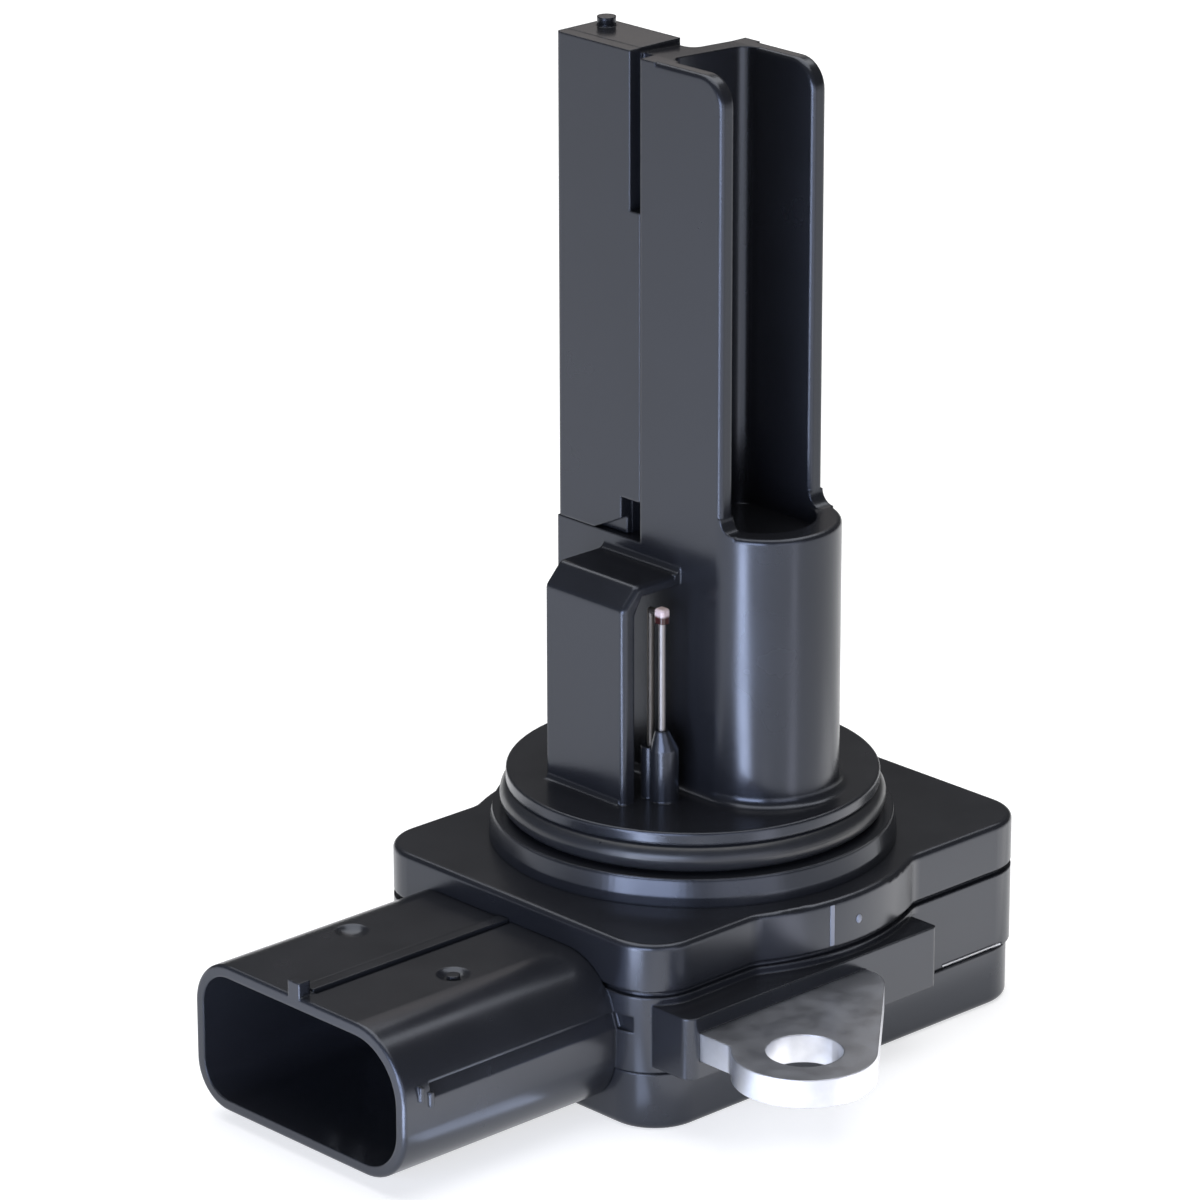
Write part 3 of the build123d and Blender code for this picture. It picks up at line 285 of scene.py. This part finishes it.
@dataclass(frozen=True)
class GlassBead:
    """Fired glass bead.

    It gives the eye a glossy drop, dark red-brown below, with a painted highlight in pale pink over
    its top.
    """

    name: str = "brown_glass_bead"
    body: str = "#3b1f1e"
    # Painted highlight: the pale pink colour laid on the bead's top.
    painted_highlight: str = "#cdb9b6"
    painted_highlight_start: float = 21.05 * MM
    painted_highlight_full: float = 21.35 * MM
    roughness: float = 0.12
    ior: float = 1.52

    def build(self) -> bpy.types.Material:
        """Build the material."""
        material, tree, output = new_material(self.name)
        place = add_node(tree, "ShaderNodeTexCoord").outputs["Object"]
        height = add_node(tree, "ShaderNodeSeparateXYZ", {}, {"Vector": place})
        # Painted highlight: from a set height up, the bead turns pale pink for the light its top
        # catches.
        highlight_blend = add_node(tree, "ShaderNodeMapRange", {"interpolation_type": "SMOOTHSTEP"},
                         {"Value": height.outputs["Z"], "From Min": self.painted_highlight_start,
                          "From Max": self.painted_highlight_full})
        colour = add_node(tree, "ShaderNodeMix", {"data_type": "RGBA"},
                          {0: highlight_blend.outputs["Result"], 6: linear(self.body), 7: linear(self.painted_highlight)})
        shader = add_node(tree, "ShaderNodeBsdfPrincipled", {},
                          {"Base Color": colour.outputs[2], "Roughness": self.roughness,
                           "IOR": self.ior})
        tree.links.new(shader.outputs["BSDF"], output.inputs["Surface"])
        return material


@dataclass(frozen=True)
class PlainFinish:
    """Finish of a small piece: one tone, with a fine mottle in its gloss."""

    name: str
    colour: str
    roughness: float = 0.4
    metallic: float = 0.0
    mottle_size: float = 0.8 * MM
    roughness_swing: float = 0.08

    def build(self) -> bpy.types.Material:
        """Build the material."""
        material, tree, output = new_material(self.name)
        place = add_node(tree, "ShaderNodeTexCoord").outputs["Object"]
        mottle = add_node(tree, "ShaderNodeTexNoise", {},
                          {"Vector": place, "Scale": 1 / self.mottle_size, "Detail": 3.0})
        rough = add_node(tree, "ShaderNodeMapRange", {},
                         {"Value": mottle.outputs["Fac"],
                          "To Min": self.roughness - self.roughness_swing,
                          "To Max": self.roughness + self.roughness_swing})
        shader = add_node(tree, "ShaderNodeBsdfPrincipled", {},
                          {"Base Color": linear(self.colour), "Roughness": rough.outputs["Result"],
                           "Metallic": self.metallic})
        tree.links.new(shader.outputs["BSDF"], output.inputs["Surface"])
        return material


# -------------------------------------------------------------------- studio
@dataclass(frozen=True)
class Lamp:
    """One rectangular soft lamp, given by the radiance of its face."""

    name: str
    place: tuple[float, float, float]
    size: tuple[float, float]
    radiance: float
    colour: str
    aim: tuple[float, float, float] | None = None
    yaw: float = 0.0

    def hang(self) -> bpy.types.Object:
        """Hang the lamp facing its aim, or lay it face up where it has none.

        Returns:
            The lamp.
        """
        data = bpy.data.lights.new(self.name, "AREA")
        data.shape = "RECTANGLE"
        data.size, data.size_y = self.size
        data.energy = self.radiance * math.pi * self.size[0] * self.size[1]
        data.color = linear(self.colour)[:3]
        lamp = bpy.data.objects.new(self.name, data)
        lamp.location = self.place
        if self.aim is None:
            lamp.rotation_euler = (math.pi, 0.0, math.radians(self.yaw))
        else:
            direction = Vector(self.aim) - Vector(self.place)
            lamp.rotation_euler = direction.to_track_quat("-Z", "Y").to_euler()
        lamp.visible_camera = False
        bpy.context.scene.collection.objects.link(lamp)
        return lamp


@dataclass
class Studio:
    """White floor, soft lamps and the camera."""

    floor_z: float
    lens: float = 187.92
    place: tuple[float, float, float] = (-0.32607, -0.33479, 0.18833)
    azimuth: float = -43.336
    elevation: float = 19.848
    roll: float = 0.116
    floor_colour: str = "#cdcdcd"
    floor_glow: float = 0.65
    floor_reach: float = 3.0
    surround: float = 0.1
    lift: float = 0.2 * MM
    sensor_width: float = 36.0
    clip_start: float = 0.01

    def floor(self) -> None:
        """Lay the white acrylic floor, a matt white that glows a little and keeps the shadow."""
        mesh = bpy.data.meshes.new("floor")
        shape = bmesh.new()
        bmesh.ops.create_grid(shape, x_segments=1, y_segments=1, size=self.floor_reach,
                              matrix=Matrix.Translation((0, 0, self.floor_z)))
        shape.to_mesh(mesh)
        shape.free()
        plane = bpy.data.objects.new("floor", mesh)
        bpy.context.scene.collection.objects.link(plane)
        material, tree, output = new_material("white_acrylic_floor")
        rays = add_node(tree, "ShaderNodeLightPath")
        seen = add_node(tree, "ShaderNodeMath", {"operation": "MAXIMUM"},
                        {0: rays.outputs["Is Camera Ray"], 1: rays.outputs["Is Glossy Ray"]})
        seen = add_node(tree, "ShaderNodeMath", {"operation": "MAXIMUM"},
                        {0: seen.outputs[0], 1: rays.outputs["Is Transmission Ray"]})
        glow = add_node(tree, "ShaderNodeMath", {"operation": "MULTIPLY"},
                        {0: seen.outputs[0], 1: self.floor_glow})
        light = add_node(tree, "ShaderNodeEmission", {}, {"Strength": glow.outputs[0]})
        matt = add_node(tree, "ShaderNodeBsdfDiffuse", {}, {"Color": linear(self.floor_colour)})
        both = add_node(tree, "ShaderNodeAddShader", {},
                        {0: light.outputs["Emission"], 1: matt.outputs["BSDF"]})
        tree.links.new(both.outputs["Shader"], output.inputs["Surface"])
        mesh.materials.append(material)
        plane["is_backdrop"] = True

    def lamps(self) -> None:
        """Hang the softbox, the upright panels and the strips that lie on the floor.

        The strips light the column and the corners with the narrow streaks of a satin moulding,
        and the upright panels light the sloping rims above the plate.
        """
        low = self.floor_z + self.lift
        shoulder = (0, 0, 0.02)
        for lamp in (
            Lamp("overhead_softbox", (0.10, 0.10, 0.72), (0.9, 0.9), 2.4, "#ffffff", (0, 0, 0)),
            Lamp("left_upright_panel", (-0.221, -0.088, 0.036), (0.17, 0.095), 9.0, "#d0deff",
                 shoulder),
            Lamp("front_upright_panel", (-0.062, -0.232, 0.036), (0.16, 0.095), 1.8, "#e8ecff",
                 shoulder),
            Lamp("back_card", (0.112, 0.118, 0.132), (0.09, 0.06), 0.55, "#fff6f2",
                 (0, 0.003, 0.065)),
            Lamp("left_floor_strip", (-0.143, -0.0220, low), (0.18, 0.027), 13.5, "#d8e4ff",
                 yaw=3.0),
            Lamp("corner_floor_strip", (-0.0295, -0.0172, low), (0.012, 0.004), 3.0, "#d8e4ff",
                 yaw=7.0),
            Lamp("front_floor_strip", (-0.0045, -0.115, low), (0.15, 0.014), 1.5, "#f4f2ff",
                 yaw=90.0),
            Lamp("right_floor_panel", (0.013, -0.037, low), (0.115, 0.03), 0.9, "#fffaf4"),
        ):
            lamp.hang()

    def world(self) -> None:
        """Fill the surroundings with an even grey."""
        world = bpy.data.worlds.new("studio")
        bpy.context.scene.world = world
        world.use_nodes = True
        grey = self.surround
        world.node_tree.nodes["Background"].inputs["Color"].default_value = (grey, grey, grey, 1)

    def camera(self) -> None:
        """Set the camera at the viewing angle."""
        data = bpy.data.cameras.new("camera")
        data.lens = self.lens
        data.sensor_width = self.sensor_width
        data.clip_start = self.clip_start
        camera = bpy.data.objects.new("camera", data)
        azimuth, elevation = math.radians(self.azimuth), math.radians(self.elevation)
        forward = Vector((-math.sin(azimuth) * math.cos(elevation),
                          math.cos(azimuth) * math.cos(elevation), -math.sin(elevation)))
        level = Vector((math.cos(azimuth), math.sin(azimuth), 0))
        up = level.cross(forward)
        turn = Matrix((level, up, -forward)).transposed().to_4x4()
        camera.matrix_world = Matrix.Translation(self.place) @ turn @ Matrix.Rotation(
            math.radians(-self.roll), 4, "Z")
        bpy.context.scene.collection.objects.link(camera)
        bpy.context.scene.camera = camera

    def build(self) -> None:
        """Set up the whole studio."""
        self.floor()
        self.lamps()
        self.world()
        self.camera()
        bpy.context.scene.view_settings.view_transform = "Standard"


# ------------------------------------------------------------------- dressing
class Slot(Enum):
    """Finish of each group of pieces."""

    PLASTIC = "body_plastic"
    RUBBER = "seal_rubber"
    ZINC = "zinc_steel"
    SEALANT = "sealant"
    LAMINATE = "board_laminate"
    RESIN = "chip_plastic"
    CERAMIC = "ceramic_body"
    GLAZE = "bead_glaze"
    WIRE = "tinned_wire"
    TIN = "tinned_brass"


@dataclass
class Wardrobe:
    """One material for each slot, put on every CAD node."""

    frame: dict
    materials: dict = field(default_factory=dict)

    def build(self) -> None:
        """Make the materials."""
        finishes = {
            Slot.PLASTIC: SatinPlastic(),
            Slot.RUBBER: SealRubber(),
            Slot.ZINC: ZincPlate(),
            # Cured silicone bead: a dull near-black that keeps no sharp reflection.
            Slot.SEALANT: PlainFinish("dark_silicone", "#1c1c1e", 0.5),
            # Lacquered glass-epoxy laminate: a deep green with a smooth sheen.
            Slot.LAMINATE: PlainFinish("green_laminate", "#1c4a2c", 0.35),
            # Transfer-moulded epoxy: a matt charcoal.
            Slot.RESIN: PlainFinish("moulded_resin", "#17171a", 0.5),
            # Fired ceramic: a dry, matt buff.
            Slot.CERAMIC: PlainFinish("plain_ceramic", "#a89078", 0.5),
            Slot.GLAZE: GlassBead(),
            # Dip-tinned wire: a soft, greyish shine.
            Slot.WIRE: PlainFinish("tinned_wire", "#8a8684", 0.5, 1.0),
            # Brass with bright tin plating: a warm, clean metal.
            Slot.TIN: PlainFinish("tin_plated_brass", "#cdc6b6", 0.25, 1.0),
        }
        self.materials = {slot: finish.build() for slot, finish in finishes.items()}

    def dress(self) -> None:
        """Put each node's material on it."""
        slots = {part["node"]: Slot(part["material_slot"])
                 for part in self.frame["record"]["subparts"]}
        # Painted shade: the rear wire stands behind the front one, so it gets a darker, browner and
        # duller copy of the tinned wire.
        shaded_wire = PlainFinish("shaded_tinned_wire", "#5b5650", 0.55, 1.0).build()
        for name, node in self.frame["nodes"].items():
            node.data.materials.clear()
            finish = shaded_wire if name == "thermistor_lead_b" else self.materials[slots[name]]
            node.data.materials.append(finish)
            LOG.info("%s wears %s", name, slots[name].value)


# --------------------------------------------------------------- small trim
def trim_piece(name: str, shape: bmesh.types.BMesh, material: bpy.types.Material) -> bpy.types.Object:
    """Turn a finished shape into a piece that rides on the part.

    Args:
        name: Name of the piece.
        shape: Its shape, which is freed here.
        material: Its material.

    Returns:
        The piece, at the origin.
    """
    bmesh.ops.recalc_face_normals(shape, faces=shape.faces)
    mesh = bpy.data.meshes.new(name)
    shape.to_mesh(mesh)
    shape.free()
    mesh.materials.append(material)
    piece = bpy.data.objects.new(name, mesh)
    bpy.context.scene.collection.objects.link(piece)
    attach(piece, "root")
    LOG.info("built %s", name)
    return piece


@dataclass
class ShieldEdge:
    """Edge of the steel shield plate that shows in the narrow opening above the cover."""

    x_start: float = 12.4 * MM
    x_end: float = 19.2 * MM
    y_face: float = -16.16 * MM
    y_back: float = -15.74 * MM
    z_bottom: float = -10.70 * MM
    z_top: float = -10.46 * MM
    edge: float = 0.03 * MM
    edge_segments: int = 2

    def build(self, material: bpy.types.Material) -> bpy.types.Object:
        """Build the plate's edge with softened arrises.

        Args:
            material: Finish of the steel.

        Returns:
            The piece.
        """
        shape = bmesh.new()
        low = Vector((self.x_start, self.y_face, self.z_bottom))
        high = Vector((self.x_end, self.y_back, self.z_top))
        place = Matrix.Translation((low + high) / 2) @ Matrix.Diagonal((*(high - low), 1))
        bmesh.ops.create_cube(shape, size=1.0, matrix=place)
        bmesh.ops.bevel(shape, geom=list(shape.edges), offset=self.edge, offset_type="OFFSET",
                        affect="EDGES", segments=self.edge_segments, profile=0.5, material=-1)
        return trim_piece("shield_edge", shape, material)


@dataclass
class LobeScars:
    """Trimmed gate line and round gate scar on the side of the plate's lobe."""

    lobe_radius: float = 18.45 * MM
    line_x: float = -2.5 * MM
    line_width: float = 0.42 * MM
    line_proud: float = 0.05 * MM
    line_depth: float = 0.2 * MM
    line_round: float = 0.045 * MM
    line_segments: int = 3
    line_bottom: float = -3.75 * MM
    line_top: float = -0.35 * MM
    scar_x: float = 0.3 * MM
    scar_z: float = -2.2 * MM
    scar_radius: float = 0.3 * MM
    scar_stretch: tuple[float, float, float] = (0.6, 1.0, 1.2)
    scar_segments: int = 20
    scar_rings: int = 12

    def side(self, x: float) -> float:
        """Give Y of the lobe's side at a place along X."""
        return -math.sqrt(self.lobe_radius ** 2 - x ** 2)

    def line(self, material: bpy.types.Material) -> bpy.types.Object:
        """Build the upright gate line.

        Args:
            material: Pale finish that paints on a highlight.

        Returns:
            The piece.
        """
        shape = bmesh.new()
        turn = math.atan2(self.side(self.line_x), self.line_x)
        out = self.lobe_radius + self.line_proud - self.line_depth / 2
        middle = (self.line_bottom + self.line_top) / 2
        place = Matrix.Rotation(turn, 4, "Z") @ Matrix.Translation((out, 0, middle))
        size = Matrix.Diagonal(
            (self.line_depth, self.line_width, self.line_top - self.line_bottom, 1))
        bmesh.ops.create_cube(shape, size=1.0, matrix=place @ size)
        bmesh.ops.bevel(shape, geom=list(shape.edges), offset=self.line_round,
                        offset_type="OFFSET", affect="EDGES", segments=self.line_segments,
                        profile=0.5, material=-1)
        return trim_piece("gate_line", shape, material)

    def scar(self, material: bpy.types.Material) -> bpy.types.Object:
        """Build the small round scar.

        Args:
            material: Pale finish that paints on a highlight.

        Returns:
            The piece.
        """
        shape = bmesh.new()
        turn = math.atan2(self.side(self.scar_x), self.scar_x)
        place = Matrix.Rotation(turn, 4, "Z") @ Matrix.Translation(
            (self.lobe_radius, 0, self.scar_z))
        bmesh.ops.create_uvsphere(shape, u_segments=self.scar_segments,
                                  v_segments=self.scar_rings, radius=self.scar_radius,
                                  matrix=place @ Matrix.Diagonal((*self.scar_stretch, 1)))
        return trim_piece("gate_scar", shape, material)


@dataclass
class ShoulderFlare:
    """Skin of the spigot's shoulder, with a steep lead-in above a short upright foot."""

    inner_radius: float = 15.9 * MM
    top_radius: float = 16.12 * MM
    foot_radius: float = 16.36 * MM
    z_foot: float = 0.0
    z_lead: float = 0.85 * MM
    z_top: float = 2.27 * MM
    crest: float = 0.12 * MM
    steps: int = 180

    def build(self, material: bpy.types.Material) -> bpy.types.Object:
        """Turn the skin's section round the spigot's axis.

        Args:
            material: Finish of the moulding.

        Returns:
            The piece.
        """
        shape = bmesh.new()
        corners = (
            (self.inner_radius, self.z_foot), (self.foot_radius, self.z_foot),
            (self.foot_radius, self.z_lead), (self.top_radius, self.z_top - self.crest),
            (self.top_radius - self.crest, self.z_top), (self.inner_radius, self.z_top))
        section = [shape.verts.new((radius, 0, z)) for radius, z in corners]
        rim = [shape.edges.new((start, end))
               for start, end in zip(section, section[1:] + section[:1])]
        bmesh.ops.spin(shape, geom=section + rim, cent=(0, 0, 0), axis=(0, 0, 1),
                       angle=2 * math.pi, steps=self.steps, use_merge=True, use_duplicate=False)
        bmesh.ops.remove_doubles(shape, verts=shape.verts, dist=MERGE_DISTANCE)
        return trim_piece("shoulder_flare", shape, material)


def main() -> None:
    """Load the frame, dress it and set up the studio."""
    logging.basicConfig(level=logging.INFO, format="%(name)s: %(message)s")
    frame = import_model()
    cad_box = [list(corner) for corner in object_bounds()]
    wardrobe = Wardrobe(frame)
    wardrobe.build()
    wardrobe.dress()
    ShieldEdge().build(wardrobe.materials[Slot.ZINC])
    ShoulderFlare().build(wardrobe.materials[Slot.PLASTIC])
    # Painted highlight: the gate line and scar wear a pale, fairly rough grey that stands in for the
    # light they catch.
    pale_highlight = PlainFinish("pale_highlight_pbt", "#8d919c", 0.45).build()
    scars = LobeScars()
    scars.line(pale_highlight)
    scars.scar(pale_highlight)
    Studio(floor_z=cad_box[0][2]).build()


if __name__ == "__main__":
    main()
